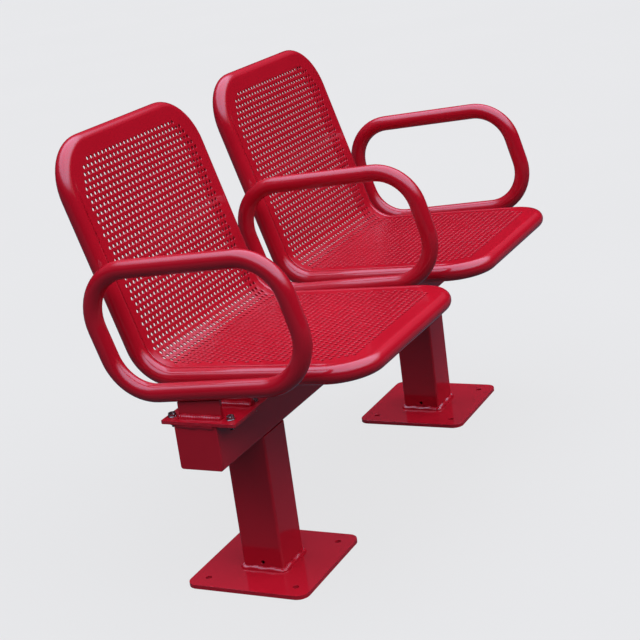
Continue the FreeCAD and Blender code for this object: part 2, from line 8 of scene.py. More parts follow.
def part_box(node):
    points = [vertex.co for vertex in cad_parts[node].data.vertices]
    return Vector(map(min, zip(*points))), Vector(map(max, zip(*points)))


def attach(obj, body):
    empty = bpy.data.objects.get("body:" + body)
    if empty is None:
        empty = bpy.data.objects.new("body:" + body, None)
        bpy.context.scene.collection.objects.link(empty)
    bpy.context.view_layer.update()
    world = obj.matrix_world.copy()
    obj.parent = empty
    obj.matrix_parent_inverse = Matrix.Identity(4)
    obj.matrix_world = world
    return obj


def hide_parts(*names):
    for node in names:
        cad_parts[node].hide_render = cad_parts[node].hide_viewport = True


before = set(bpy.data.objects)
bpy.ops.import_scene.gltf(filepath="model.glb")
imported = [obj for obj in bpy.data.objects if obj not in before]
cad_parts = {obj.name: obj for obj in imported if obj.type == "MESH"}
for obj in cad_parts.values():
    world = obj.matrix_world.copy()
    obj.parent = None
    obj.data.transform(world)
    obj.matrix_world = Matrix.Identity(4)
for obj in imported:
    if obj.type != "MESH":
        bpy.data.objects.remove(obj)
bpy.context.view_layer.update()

# Base plates and posts
# Cut steel plates with four anchor holes, and square steel tubes that stand on them. They are
# welded up with the beam and powder-coated afterwards, so the film rounds every cut edge a little.
MM = 0.001
FILM_ROUND = 0.9 * MM
SAME_PLACE = 0.002 * MM
FLAT_ANGLE = math.radians(0.5)
EDGE_ANGLE = math.radians(35)


def linear(hex_colour):
    """Linear colour of an sRGB hex value."""
    colour = []
    for start in (0, 2, 4):
        level = int(hex_colour[start:start + 2], 16) / 255
        colour.append(level / 12.92 if level <= 0.04045 else ((level + 0.055) / 1.055) ** 2.4)
    return colour + [1]


def add_node(tree, kind, settings, links=None):
    """Adds a node; settings go to its sockets or, where it has none so named, to its options."""
    node = tree.nodes.new(kind)
    for name, setting in settings.items():
        if isinstance(name, int) or name in node.inputs:
            node.inputs[name].default_value = setting
        else:
            setattr(node, name, setting)
    for name, socket in (links or {}).items():
        tree.links.new(socket, node.inputs[name])
    return node


# Polyester powder coat, sprayed dry and baked: an even, deep red film with a soft gloss. It shows a
# slight orange peel, a little unevenness of thickness and gloss, and dull patches where hands and
# weather have worked. Real orange peel is about 2 mm wide; it is drawn 5 mm wide so that it shows.
def make_powder_coat():
    material = bpy.data.materials.new("polyester_powder_coat")
    material.use_nodes = True
    tree = material.node_tree
    tree.nodes.clear()
    spot = add_node(tree, "ShaderNodeTexCoord", {}).outputs["Object"]
    film = add_node(tree, "ShaderNodeTexNoise", {"Scale": 1 / (140 * MM), "Detail": 3}, {"Vector": spot})
    tint = add_node(
        tree, "ShaderNodeMix", {"data_type": "RGBA", 6: linear("A60D1A"), 7: linear("B21320")},
        {0: film.outputs[0]},
    )
    wear = add_node(tree, "ShaderNodeTexNoise", {"Scale": 1 / (45 * MM), "Detail": 5}, {"Vector": spot})
    gloss = add_node(
        tree, "ShaderNodeMapRange",
        {"From Min": 0.3, "From Max": 0.7, "To Min": 0.05, "To Max": 0.12}, {"Value": wear.outputs[0]},
    )
    peel = add_node(tree, "ShaderNodeTexNoise", {"Scale": 1 / (5 * MM), "Detail": 1}, {"Vector": spot})
    bump = add_node(
        tree, "ShaderNodeBump", {"Strength": 0.1, "Distance": 0.4 * MM}, {"Height": peel.outputs[0]},
    )
    shader = add_node(
        tree, "ShaderNodeBsdfPrincipled", {"IOR": 1.5},
        {"Base Color": tint.outputs[2], "Roughness": gloss.outputs[0], "Normal": bump.outputs[0]},
    )
    add_node(tree, "ShaderNodeOutputMaterial", {}, {"Surface": shader.outputs[0]})
    return material


def add_piece(bm, name, material, slot, *nodes):
    """Makes a finished mesh a piece of the part, in place of the solids that it stands for."""
    mesh = bpy.data.meshes.new(name)
    bm.to_mesh(mesh)
    bm.free()
    mesh.shade_smooth()
    mesh.set_sharp_from_angle(angle=EDGE_ANGLE)
    mesh.materials.append(material)
    piece = bpy.data.objects.new(name, mesh)
    bpy.context.scene.collection.objects.link(piece)
    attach(piece, "root")
    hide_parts(*nodes)
    return piece


def coat_steel(node):
    """Copy of a cut and welded steel piece with the small radius that the film gives its edges."""
    bm = bmesh.new()
    bm.from_mesh(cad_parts[node].data)
    bmesh.ops.remove_doubles(bm, verts=bm.verts, dist=SAME_PLACE)
    bmesh.ops.dissolve_limit(bm, angle_limit=FLAT_ANGLE, verts=bm.verts, edges=bm.edges)
    cut_edges = [edge for edge in bm.edges if edge.is_manifold and edge.calc_face_angle() > EDGE_ANGLE]
    bmesh.ops.bevel(
        bm, geom=cut_edges, offset=FILM_ROUND, offset_type="OFFSET", affect="EDGES", segments=2,
        profile=0.5, clamp_overlap=True, material=-1,
    )
    piece = add_piece(bm, node + "_coated", powder_coat, "red_powder_coat", node)
    piece.modifiers.new("flat faces", "WEIGHTED_NORMAL").keep_sharp = True


powder_coat = make_powder_coat()
for end in ("left", "right"):
    coat_steel(f"base_plate_{end}")
    coat_steel(f"post_{end}")

# Welds round the feet of the posts
# One fillet run by hand all round each post, where it stands on its plate. The weld pool leaves
# close, even ripples across the bead, and the coat follows them.
BEAD_LEG = 7 * MM
BEAD_SIDES = 6
RIPPLE_PITCH = 5 * MM
BEAD_STEP = RIPPLE_PITCH / 4
RIPPLE_SHARE = 0.05
WANDER_PITCH = 37 * MM
WANDER_SHARE = 0.12
BEND_STEPS = 14


def bend_at(before, corner, after, radius):
    """Start, end, middle, axis and angle of a bend that rounds a corner of a path."""
    inward = (corner - before).normalized()
    outward = (after - corner).normalized()
    turn = inward.angle(outward)
    reach = radius * math.tan(turn / 2)
    centre = corner + (outward - inward).normalized() * radius / math.cos(turn / 2)
    axis = inward.cross(outward).normalized()
    return corner - inward * reach, corner + outward * reach, centre, axis, turn


def bends_of(path):
    """The bends of a closed path that is given as corners with their bend radii."""
    count = len(path)
    return [
        bend_at(path[i - 1][0], path[i][0], path[(i + 1) % count][0], path[i][1]) for i in range(count)
    ]


def rim_of(parts):
    """Open edges and points among parts that an operator has made."""
    edges = [part for part in parts if isinstance(part, bmesh.types.BMEdge) and len(part.link_faces) < 2]
    points = list({point for edge in edges for point in edge.verts})
    return edges, points


def sweep(bm, path, longest_step):
    """Draws the bmesh's one ring round a closed path, which begins where the last bend ends."""
    bends = bends_of(path)
    here = bends[-1][1]
    edges, points = rim_of(bm.edges)
    for start, end, centre, axis, turn in bends:
        steps = math.ceil((start - here).length / longest_step)
        for step in range(steps):
            edges, points = rim_of(bmesh.ops.extrude_edge_only(bm, edges=edges)["geom"])
            bmesh.ops.translate(bm, verts=points, vec=(start - here) / steps)
        swung = bmesh.ops.spin(
            bm, geom=edges + points, cent=centre, axis=axis, angle=turn, steps=BEND_STEPS,
            use_merge=False,
        )
        edges, points = rim_of(swung["geom_last"])
        here = end
    bmesh.ops.remove_doubles(bm, verts=bm.verts, dist=SAME_PLACE)
    bmesh.ops.recalc_face_normals(bm, faces=bm.faces)


def add_bead_section(bm):
    """Outline of a weld bead in the corner of the X and Z axes, as one closed ring."""
    tip = bmesh.ops.create_vert(bm, co=(BEAD_LEG, 0, 0))["vert"]
    arc = bmesh.ops.spin(
        bm, geom=tip, cent=(0, 0, 0), axis=(0, -1, 0), angle=math.pi / 2, steps=BEAD_SIDES,
        use_merge=False,
    )
    root = bmesh.ops.create_vert(bm, co=(0, 0, 0))["vert"][0]
    end = next(part for part in arc["geom_last"] if isinstance(part, bmesh.types.BMVert))
    bm.edges.new((tip[0], root))
    bm.edges.new((root, end))


def ripple(along):
    """Share by which a bead swells: close ripples, and the slow wandering of a hand-led torch."""
    turn = 2 * math.pi * along
    close = RIPPLE_SHARE * math.cos(turn / RIPPLE_PITCH)
    slow = WANDER_SHARE * math.sin(turn / WANDER_PITCH)
    return 1 + close + slow


for end in ("left", "right"):
    post_low, post_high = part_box(f"post_{end}")
    plate_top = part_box(f"base_plate_{end}")[1].z
    post_middle = (post_low + post_high) / 2
    half_post = (post_high.x - post_low.x) / 2
    post_corner = 5 * MM
    corners = [(-1, -1), (1, -1), (1, 1), (-1, 1)]
    path = [
        (Vector((post_middle.x + x * half_post, post_middle.y + y * half_post, plate_top)), post_corner)
        for x, y in corners
    ]
    bm = bmesh.new()
    add_bead_section(bm)
    seat = Matrix.Translation(bends_of(path)[-1][1]) @ Matrix.Rotation(math.pi, 4, "Z")
    bmesh.ops.transform(bm, matrix=seat, verts=bm.verts)
    sweep(bm, path, BEAD_STEP)
    for point in bm.verts:
        away = point.co - Vector((post_middle.x, post_middle.y, plate_top))
        point.co.z = plate_top + away.z * ripple(away.x + away.y)
    add_piece(bm, f"post_foot_bead_{end}", powder_coat, "red_powder_coat", f"post_foot_weld_{end}")

# Beam with its end caps
# One length of square steel tube, closed at both ends by plates that are welded in and ground flush.
coat_steel("cross_beam")
coat_steel("beam_end_cap_left")
coat_steel("beam_end_cap_right")

# Saddle plates and bracket flanges
# Pairs of cut plates on top of the beam: the lower one is welded to the beam, the upper one carries
# the uprights of the seats and arms, and four bolts hold the two together.
for place in ("left", "middle", "right"):
    coat_steel(f"saddle_plate_{place}")
    coat_steel(f"bracket_flange_{place}")

# Welds under the saddle plates
# Fillet runs along both sides of the beam and across its end faces, in the corner under each plate.
BEAD_END = 3 * MM
END_SHARE = 0.4


def make_bead(length):
    """Straight rippled weld bead along Y that dies away at both ends, in the corner of X and Z."""
    bm = bmesh.new()
    add_bead_section(bm)
    edges, points = rim_of(bm.edges)
    bmesh.ops.contextual_create(bm, geom=edges)
    bmesh.ops.translate(bm, verts=bm.verts, vec=(0, -length / 2, 0))
    steps = math.ceil(length / BEAD_STEP)
    for step in range(steps):
        edges, points = rim_of(bmesh.ops.extrude_edge_only(bm, edges=edges)["geom"])
        bmesh.ops.translate(bm, verts=points, vec=(0, length / steps, 0))
    bmesh.ops.contextual_create(bm, geom=edges)
    for point in bm.verts:
        to_end = length / 2 - abs(point.co.y)
        swell = ripple(point.co.y) * min(1, END_SHARE + (1 - END_SHARE) * to_end / BEAD_END)
        point.co.x *= swell
        point.co.z *= swell
    bmesh.ops.recalc_face_normals(bm, faces=bm.faces)
    mesh = bpy.data.meshes.new("bead")
    bm.to_mesh(mesh)
    bm.free()
    return mesh


def gather(bm, mesh, place):
    """Adds a copy of a mesh to a bmesh, moved to its place."""
    copy = mesh.copy()
    copy.transform(place)
    bm.from_mesh(copy)
    bpy.data.meshes.remove(copy)


def corner_place(root, first, second):
    """Place of a shape made in the corner of X and Z, when these turn to two other directions."""
    turn = Matrix((first, second.cross(first), second)).transposed().to_4x4()
    return Matrix.Translation(root) @ turn


DOWN = Vector((0, 0, -1))
UP = Vector((0, 0, 1))
bolt_inset = 23 * MM
washer_room = 16 * MM
beam_low, beam_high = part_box("cross_beam")
beam_corner = 5 * MM
bm = bmesh.new()
for place in ("left", "middle", "right"):
    plate_low, plate_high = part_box(f"saddle_plate_{place}")
    bead = make_bead(plate_high.x - plate_low.x - 2 * bolt_inset - washer_room)
    for side in (-1, 1):
        root = Vector(((plate_low.x + plate_high.x) / 2, side * beam_high.y, beam_high.z))
        gather(bm, bead, corner_place(root, Vector((0, side, 0)), DOWN))
bead = make_bead(2 * (beam_high.y - beam_corner))
plate_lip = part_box("saddle_plate_right")[1].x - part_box("beam_end_cap_right")[1].x
narrow = Matrix.Diagonal((plate_lip / (BEAD_LEG * (1 + RIPPLE_SHARE + WANDER_SHARE)), 1, 1, 1))
for node, side in (("beam_end_cap_left", -1), ("beam_end_cap_right", 1)):
    root = Vector((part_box(node)[max(side, 0)].x, 0, beam_high.z))
    gather(bm, bead, corner_place(root, Vector((side, 0, 0)), DOWN) @ narrow)
add_piece(bm, "saddle_beads", powder_coat, "red_powder_coat", "saddle_welds")


# Bolts, washers and nuts of the brackets
# M8 hexagon bolts from above, with a washer on each side and the nut below the saddle plate. They
# are bought in zinc-plated and fitted after painting, so they stay bare metal.
# Bright zinc plating on steel: a greyish metal, a little cloudy, that dulls unevenly outdoors.
# The cloudiness is drawn 4 mm wide; on the real plating it is finer.
def make_zinc():
    material = bpy.data.materials.new("zinc_plated_steel")
    material.use_nodes = True
    tree = material.node_tree
    tree.nodes.clear()
    spot = add_node(tree, "ShaderNodeTexCoord", {}).outputs["Object"]
    cloud = add_node(tree, "ShaderNodeTexNoise", {"Scale": 1 / (4 * MM), "Detail": 4}, {"Vector": spot})
    tint = add_node(
        tree, "ShaderNodeMix", {"data_type": "RGBA", 6: linear("7E7F7E"), 7: linear("A8A7A1")},
        {0: cloud.outputs[0]},
    )
    dull = add_node(
        tree, "ShaderNodeMapRange",
        {"From Min": 0.3, "From Max": 0.7, "To Min": 0.18, "To Max": 0.34}, {"Value": cloud.outputs[0]},
    )
    shader = add_node(
        tree, "ShaderNodeBsdfPrincipled", {"Metallic": 1},
        {"Base Color": tint.outputs[2], "Roughness": dull.outputs[0]},
    )
    add_node(tree, "ShaderNodeOutputMaterial", {}, {"Surface": shader.outputs[0]})
    return material


STAND_APART = 40 * MM


def add_ring(bm, radius, sides, splits=0, squeeze=1):
    """Adds a level ring of edges and gives it back; squeeze narrows it along X."""
    before = set(bm.edges)
    place = Matrix.Diagonal((squeeze, 1, 1, 1))
    bmesh.ops.create_circle(bm, cap_ends=False, segments=sides, radius=radius, matrix=place)
    if splits:
        fresh = [edge for edge in bm.edges if edge not in before]
        bmesh.ops.subdivide_edges(bm, edges=fresh, cuts=splits)
    return [edge for edge in bm.edges if edge not in before]


def set_height(ring, height):
    for point in {point for edge in ring for point in edge.verts}:
        point.co.z = height


def join_rings(bm, rings, heights):
    """Joins each ring to the next while they stand well apart, then sets them to their heights."""
    for number, ring in enumerate(rings):
        set_height(ring, number * STAND_APART)
    for lower, upper in zip(rings, rings[1:]):
        bmesh.ops.bridge_loops(bm, edges=lower + upper)
    for ring, height in zip(rings, heights):
        set_height(ring, height)


def finished_mesh(bm, name):
    bmesh.ops.remove_doubles(bm, verts=bm.verts, dist=SAME_PLACE)
    bmesh.ops.recalc_face_normals(bm, faces=bm.faces)
    mesh = bpy.data.meshes.new(name)
    bm.to_mesh(mesh)
    bm.free()
    return mesh


BOLT_RADIUS = 4 * MM
THREAD_ROOT = 3.4 * MM
THREAD_PITCH = 1.25 * MM
THREAD_SIDES = 16
HEAD_HEIGHT = 5.3 * MM
NUT_HEIGHT = 6.5 * MM
ACROSS_CORNERS = 13 * MM / math.cos(math.radians(30))
CORNER_CHAMFER = 1.6 * MM
WASHER_RADIUS = 8 * MM
WASHER_HOLE = 4.3 * MM
WASHER_THICK = 1.6 * MM
WASHER_SIDES = 32
HEAD_STEP = 23
NUT_STEP = 41


def add_hexagon(bm, low, high, chamfered):
    """Hexagon prism whose corners are chamfered at the heights given."""
    place = Matrix.Translation((0, 0, (low + high) / 2))
    made = bmesh.ops.create_cone(
        bm, cap_ends=True, segments=6, radius1=ACROSS_CORNERS / 2, radius2=ACROSS_CORNERS / 2,
        depth=high - low, matrix=place,
    )
    corners = [
        point for point in made["verts"] if any(abs(point.co.z - z) < SAME_PLACE for z in chamfered)
    ]
    bmesh.ops.bevel(
        bm, geom=corners, offset=CORNER_CHAMFER, affect="VERTICES", segments=1, profile=0.5, material=-1,
    )


def make_bolt(length):
    """Bolt with the underside of its head at the origin and its thread down to a length below."""
    bm = bmesh.new()
    add_hexagon(bm, 0, HEAD_HEIGHT, [HEAD_HEIGHT])
    turns = math.floor(length / THREAD_PITCH)
    rings = [add_ring(bm, THREAD_ROOT, THREAD_SIDES)]
    heights = [-length]
    for turn in range(turns):
        crest = -length + (turn + 0.5) * THREAD_PITCH
        rings.append(add_ring(bm, BOLT_RADIUS, THREAD_SIDES))
        rings.append(add_ring(bm, THREAD_ROOT, THREAD_SIDES))
        heights += [crest, crest + THREAD_PITCH / 2]
    join_rings(bm, rings, heights)
    bmesh.ops.contextual_create(bm, geom=rings[0])
    bmesh.ops.contextual_create(bm, geom=rings[-1])
    return finished_mesh(bm, "bolt")


def make_washer():
    bm = bmesh.new()
    edge = 0.4 * MM
    section = [
        (0, WASHER_HOLE),
        (0, WASHER_RADIUS - edge),
        (edge, WASHER_RADIUS),
        (WASHER_THICK - edge, WASHER_RADIUS),
        (WASHER_THICK, WASHER_RADIUS - edge),
        (WASHER_THICK, WASHER_HOLE),
        (0, WASHER_HOLE),
    ]
    rings = [add_ring(bm, radius, WASHER_SIDES) for height, radius in section]
    join_rings(bm, rings, [height for height, radius in section])
    return finished_mesh(bm, "washer")


def make_nut():
    bm = bmesh.new()
    add_hexagon(bm, 0, NUT_HEIGHT, [0, NUT_HEIGHT])
    return finished_mesh(bm, "nut")


zinc = make_zinc()
front_edge = 19.5 * MM
rear_edge = 11.5 * MM
bolt_tail = 5 * MM
saddle_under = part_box("saddle_plate_left")[0].z
flange_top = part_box("bracket_flange_left")[1].z
grip = flange_top - saddle_under
bolt = make_bolt(2 * WASHER_THICK + grip + NUT_HEIGHT + bolt_tail)
washer = make_washer()
nut = make_nut()
bolts = bmesh.new()
washers = bmesh.new()
nuts = bmesh.new()
spots = []
for place in ("left", "middle", "right"):
    plate_low, plate_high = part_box(f"bracket_flange_{place}")
    for x in (plate_low.x + bolt_inset, plate_high.x - bolt_inset):
        for y in (plate_low.y + front_edge, plate_high.y - rear_edge):
            spots.append((x, y))
for number, (x, y) in enumerate(spots):
    head_turn = Matrix.Rotation(math.radians(HEAD_STEP * number), 4, "Z")
    nut_turn = Matrix.Rotation(math.radians(NUT_STEP * number), 4, "Z")
    gather(bolts, bolt, Matrix.Translation((x, y, flange_top + WASHER_THICK)) @ head_turn)
    gather(washers, washer, Matrix.Translation((x, y, flange_top)))
    gather(washers, washer, Matrix.Translation((x, y, saddle_under - WASHER_THICK)))
    gather(nuts, nut, Matrix.Translation((x, y, saddle_under - WASHER_THICK - NUT_HEIGHT)) @ nut_turn)
add_piece(bolts, "hexagon_bolts", zinc, "zinc_plated_steel", "bracket_bolts")
add_piece(washers, "flat_washers", zinc, "zinc_plated_steel", "bracket_washers")
add_piece(nuts, "hexagon_nuts", zinc, "zinc_plated_steel", "bracket_nuts")

# Uprights and their welds
# Cut plates on edge, across the beam, one under each arm and under each side tube of a seat. Each is
# welded to its flange by a fillet run on both faces, and the tube above sits in a weld on its edge.
uprights = [f"arm_upright_{place}" for place in ("left", "middle", "right")]
uprights += [
    f"seat_upright_{place}" for place in ("left_outer", "left_inner", "right_inner", "right_outer")
]
bm = bmesh.new()
for node in uprights:
    coat_steel(node)
    low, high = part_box(node)
    bead = make_bead(high.y - low.y)
    middle = (low.y + high.y) / 2
    gather(bm, bead, corner_place(Vector((high.x, middle, low.z)), Vector((1, 0, 0)), UP))
    gather(bm, bead, corner_place(Vector((low.x, middle, low.z)), Vector((-1, 0, 0)), UP))
add_piece(bm, "upright_beads", powder_coat, "red_powder_coat", "upright_welds")

# Arm loops
# Each arm is one length of round steel tube, bent four times into a closed loop, its ends joined by a
# weld that is ground smooth before coating.
TUBE_RADIUS = 16.81 * MM
TUBE_SIDES = 48
LONG_STEP = 60 * MM
ARM_BEND = 87 * MM
ARM_REAR = 145 * MM
ARM_RISE = 36.6 * MM
ARM_LEAN = 66.8 * MM
ARM_HEIGHT = 222.8 * MM
ARM_TOP_RUN = 398.9 * MM
ARM_BOTTOM_RUN = 390.6 * MM
arm_tilt = math.radians(4.93)
arm_rear_low = Vector((0, ARM_REAR, flange_top + ARM_RISE))
arm_rear_high = arm_rear_low + Vector((0, ARM_LEAN, ARM_HEIGHT))
arm_forward = Vector((0, -math.cos(arm_tilt), math.sin(arm_tilt)))
arm_corners = [
    arm_rear_low,
    arm_rear_high,
    arm_rear_high + arm_forward * ARM_TOP_RUN,
    arm_rear_low + arm_forward * ARM_BOTTOM_RUN,
]


def make_tube(path):
    """Bent round tube whose centre line follows a closed path."""
    bm = bmesh.new()
    bends = bends_of(path)
    start = bends[-1][1]
    along = bends[0][0] - start
    place = Matrix.Translation(start) @ along.to_track_quat("Z", "Y").to_matrix().to_4x4()
    bmesh.ops.create_circle(bm, cap_ends=False, segments=TUBE_SIDES, radius=TUBE_RADIUS, matrix=place)
    sweep(bm, path, LONG_STEP)
    return bm


for place in ("left", "middle", "right"):
    low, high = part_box(f"arm_loop_{place}")
    across = Vector(((low.x + high.x) / 2, 0, 0))
    bm = make_tube([(corner + across, ARM_BEND) for corner in arm_corners])
    add_piece(bm, f"arm_tube_{place}", powder_coat, "red_powder_coat", f"arm_loop_{place}")

# Seat frames
# Each seat is one length of the same tube, bent six times: up a side, across the top, down the other
# side and round the front. The uprights hold it at its two side runs.
HEEL_BEND = 75.5 * MM
TOP_BEND = 86.5 * MM
FRONT_BEND = 70.2 * MM
HALF_SEAT = 220 * MM
HEEL_REAR = 138.7 * MM
HEEL_RISE = 42.6 * MM
SEAT_DEPTH = 424.8 * MM
BACK_HEIGHT = 433.7 * MM
seat_tilt = math.radians(3.06)
recline = math.radians(16.3)
heel = Vector((0, HEEL_REAR, flange_top + HEEL_RISE))
up_back = Vector((0, math.sin(recline), math.cos(recline)))
along_seat = Vector((0, -math.cos(seat_tilt), math.sin(seat_tilt)))
top_middle = heel + up_back * BACK_HEIGHT
front_middle = heel + along_seat * SEAT_DEPTH
side_corners = [(top_middle, TOP_BEND), (heel, HEEL_BEND), (front_middle, FRONT_BEND)]
for place in ("left", "right"):
    low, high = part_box(f"seat_frame_{place}")
    middle = (low.x + high.x) / 2
    one_side = Vector((middle - HALF_SEAT, 0, 0))
    other_side = Vector((middle + HALF_SEAT, 0, 0))
    path = [(corner + one_side, bend) for corner, bend in side_corners]
    path += [(corner + other_side, bend) for corner, bend in reversed(side_corners)]
    bm = make_tube(path)
    add_piece(bm, f"seat_tube_{place}", powder_coat, "red_powder_coat", f"seat_frame_{place}")

# Seat shells
# Steel sheet punched with staggered round holes, cut with round corners, bent once at the heel and
# welded in flush with the front of the tube. The weld is ground level with both at the top and the
# front, so that the sheet runs over into the tube there; along the sides a fine groove is left.
SHEET = 3 * MM
OPEN_START = 45 * MM
OPEN_FADE = 50 * MM
HOLE_RADIUS = 3.5 * MM
HOLE_PITCH = 12.4 * MM
HOLE_ROWS = 62
HOLE_COLUMNS = 16
HOLE_SIDES = 12
HOLE_MARGIN = 27 * MM
FIRST_ROW = 31.2 * MM
PUNCH_ROUND = 0.6 * MM
PUNCH_ANGLE = math.radians(60)

turn_at_heel = (-up_back).angle(along_seat)
sheet_bend = HEEL_BEND - TUBE_RADIUS
heel_reach = HEEL_BEND * math.tan(turn_at_heel / 2)
flat_back = BACK_HEIGHT - heel_reach
flat_seat = SEAT_DEPTH - heel_reach
heel_arc = (sheet_bend + SHEET / 2) * turn_at_heel
sheet_length = flat_back + heel_arc + flat_seat
bend_centre = bend_at(top_middle, heel, front_middle, HEEL_BEND)[2]
back_out = (top_middle - up_back * flat_back - bend_centre).normalized()
seat_out = (front_middle - along_seat * flat_seat - bend_centre).normalized()


def hole_fits(across, along):
    """Whether a hole keeps its margin from the tube's centre line, round the corners too."""
    to_end = min(along, sheet_length - along)
    bend = TOP_BEND if along < sheet_length / 2 else FRONT_BEND
    past_side = abs(across) - (HALF_SEAT - bend)
    past_end = bend - to_end
    if past_side > 0 and past_end > 0:
        return math.hypot(past_side, past_end) <= bend - HOLE_MARGIN
    return abs(across) <= HALF_SEAT - HOLE_MARGIN


def outward(point):
    """Direction from the middle of the flat sheet to its rim, round the corners too."""
    bend = TOP_BEND if point.y < sheet_length / 2 else FRONT_BEND
    middle_y = min(max(point.y, bend), sheet_length - bend)
    middle_x = math.copysign(HALF_SEAT - bend, point.x)
    return Vector((point.x - middle_x, point.y - middle_y, 0)).normalized()


def open_share(point):
    """How far the joint with the tube is open: not at the top and the front, fully along the sides."""
    to_end = min(point.y, sheet_length - point.y)
    return min(1, max(0, (to_end - OPEN_START) / OPEN_FADE))


def make_hole_cell():
    """One punched hole with the sheet half-way to its six neighbours; the front is at Z = 0."""
    bm = bmesh.new()
    corner = HOLE_PITCH * 2 / 3
    squeeze = math.cos(math.radians(30))
    rings = [
        add_ring(bm, corner, 6, splits=1, squeeze=squeeze),
        add_ring(bm, HOLE_RADIUS + PUNCH_ROUND, HOLE_SIDES),
        add_ring(bm, HOLE_RADIUS, HOLE_SIDES),
        add_ring(bm, HOLE_RADIUS, HOLE_SIDES),
        add_ring(bm, corner, 6, splits=1, squeeze=squeeze),
    ]
    join_rings(bm, rings, [0, 0, -PUNCH_ROUND, -SHEET, -SHEET])
    return finished_mesh(bm, "hole_cell")


def add_sheet_outline(bm, inset):
    """Closed outline inside the tube's centre line, with points all along so that it can bend."""
    before = set(bm.edges)
    half = HALF_SEAT - inset
    ends = [inset, sheet_length - inset]
    half_length = (ends[1] - ends[0]) / 2
    place = Matrix.Translation((0, sum(ends) / 2, 0)) @ Matrix.Diagonal((half, half_length, 1, 1))
    corners = bmesh.ops.create_grid(bm, x_segments=1, y_segments=1, size=1, matrix=place)["verts"]
    top = [point for point in corners if point.co.y < sheet_length / 2]
    front = [point for point in corners if point.co.y > sheet_length / 2]
    for group, bend in ((top, TOP_BEND), (front, FRONT_BEND)):
        bmesh.ops.bevel(
            bm, geom=group, offset=bend - inset, affect="VERTICES", segments=BEND_STEPS,
            profile=0.5, material=-1,
        )
    fresh = [edge for edge in bm.edges if edge not in before]
    faces = list({face for edge in fresh for face in edge.link_faces})
    bmesh.ops.delete(bm, geom=faces, context="FACES_ONLY")
    fresh = [edge for edge in bm.edges if edge not in before]
    sides = [edge for edge in fresh if edge.calc_length() > sheet_length / 2]
    bmesh.ops.subdivide_edges(bm, edges=sides, cuts=HOLE_ROWS)
    return [edge for edge in bm.edges if edge not in before]


def bent(point):
    """Place on the seat of a point of the flat sheet: X across, Y down the back, Z to the front."""
    across = Vector((point.x, 0, 0))
    if point.y < flat_back:
        return across + top_middle - up_back * point.y - back_out * (TUBE_RADIUS + point.z)
    if point.y > flat_back + heel_arc:
        rest = sheet_length - point.y
        return across + front_middle - along_seat * rest - seat_out * (TUBE_RADIUS + point.z)
    turned = Quaternion((1, 0, 0), -turn_at_heel * (point.y - flat_back) / heel_arc)
    return across + bend_centre + turned @ back_out * (sheet_bend - point.z)


cell = make_hole_cell()
bm = bmesh.new()
for row in range(HOLE_ROWS):
    along = FIRST_ROW + row * HOLE_PITCH
    stagger = HOLE_PITCH / 2 * (row % 2)
    for column in range(-HOLE_COLUMNS, HOLE_COLUMNS + 1):
        across = column * HOLE_PITCH + stagger
        if hole_fits(across, along):
            gather(bm, cell, Matrix.Translation((across, along, 0)))
bmesh.ops.remove_doubles(bm, verts=bm.verts, dist=SAME_PLACE)
open_edges = [edge for edge in bm.edges if edge.is_boundary]
front_open = [edge for edge in open_edges if edge.verts[0].co.z > -SHEET / 2]
rear_open = [edge for edge in open_edges if edge.verts[0].co.z < -SHEET / 2]
# The lines round the sheet from its front to its rear, each with its depth and how far it lies inside
# the tube's centre line: first over the ground weld at top and front, then along the open sides.
edge_lines = [
    ((0, 9.4 * MM), (0, 8.6 * MM)),
    ((0, 8.4 * MM), (0.2 * MM, 7.7 * MM)),
    ((0, 7.4 * MM), (0.8 * MM, 7.2 * MM)),
    ((0, 5 * MM), (1.9 * MM, 7.1 * MM)),
    ((0, 0.5 * MM), (2.2 * MM, 7.2 * MM)),
    ((0.3 * MM, -2 * MM), (2.5 * MM, 7.4 * MM)),
    ((2.2 * MM, 5 * MM), (2.8 * MM, 7.9 * MM)),
    ((SHEET, 9.5 * MM), (SHEET, 9.5 * MM)),
]
outlines = [add_sheet_outline(bm, inset) for (depth, inset), side in edge_lines]
join_rings(bm, outlines, [-depth for (depth, inset), side in edge_lines])
for outline, ((depth, inset), (side_depth, side_inset)) in zip(outlines, edge_lines):
    for point in {point for edge in outline for point in edge.verts}:
        opened = open_share(point.co)
        point.co.z -= opened * (side_depth - depth)
        point.co -= opened * (side_inset - inset) * outward(point.co)
bmesh.ops.triangle_fill(bm, edges=front_open + outlines[0], use_beauty=True)
bmesh.ops.triangle_fill(bm, edges=rear_open + outlines[-1], use_beauty=True)
for point in bm.verts:
    point.co = bent(point.co)
bmesh.ops.recalc_face_normals(bm, faces=bm.faces)
for place in ("left", "right"):
    low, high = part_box(f"seat_shell_{place}")
    sheet = bm.copy()
    bmesh.ops.translate(sheet, verts=sheet.verts, vec=((low.x + high.x) / 2, 0, 0))
    name = f"punched_sheet_{place}"
    piece = add_piece(sheet, name, powder_coat, "red_powder_coat", f"seat_shell_{place}")
    piece.data.set_sharp_from_angle(angle=PUNCH_ANGLE)
    piece.modifiers.new("flat faces", "WEIGHTED_NORMAL").keep_sharp = True
bm.free()

# Floor
# A plain pale studio floor, wide enough to fill the picture. It gives no light back, so that the
# undersides stay as dark as they are outdoors over dull ground.
FLOOR_HALF = 60


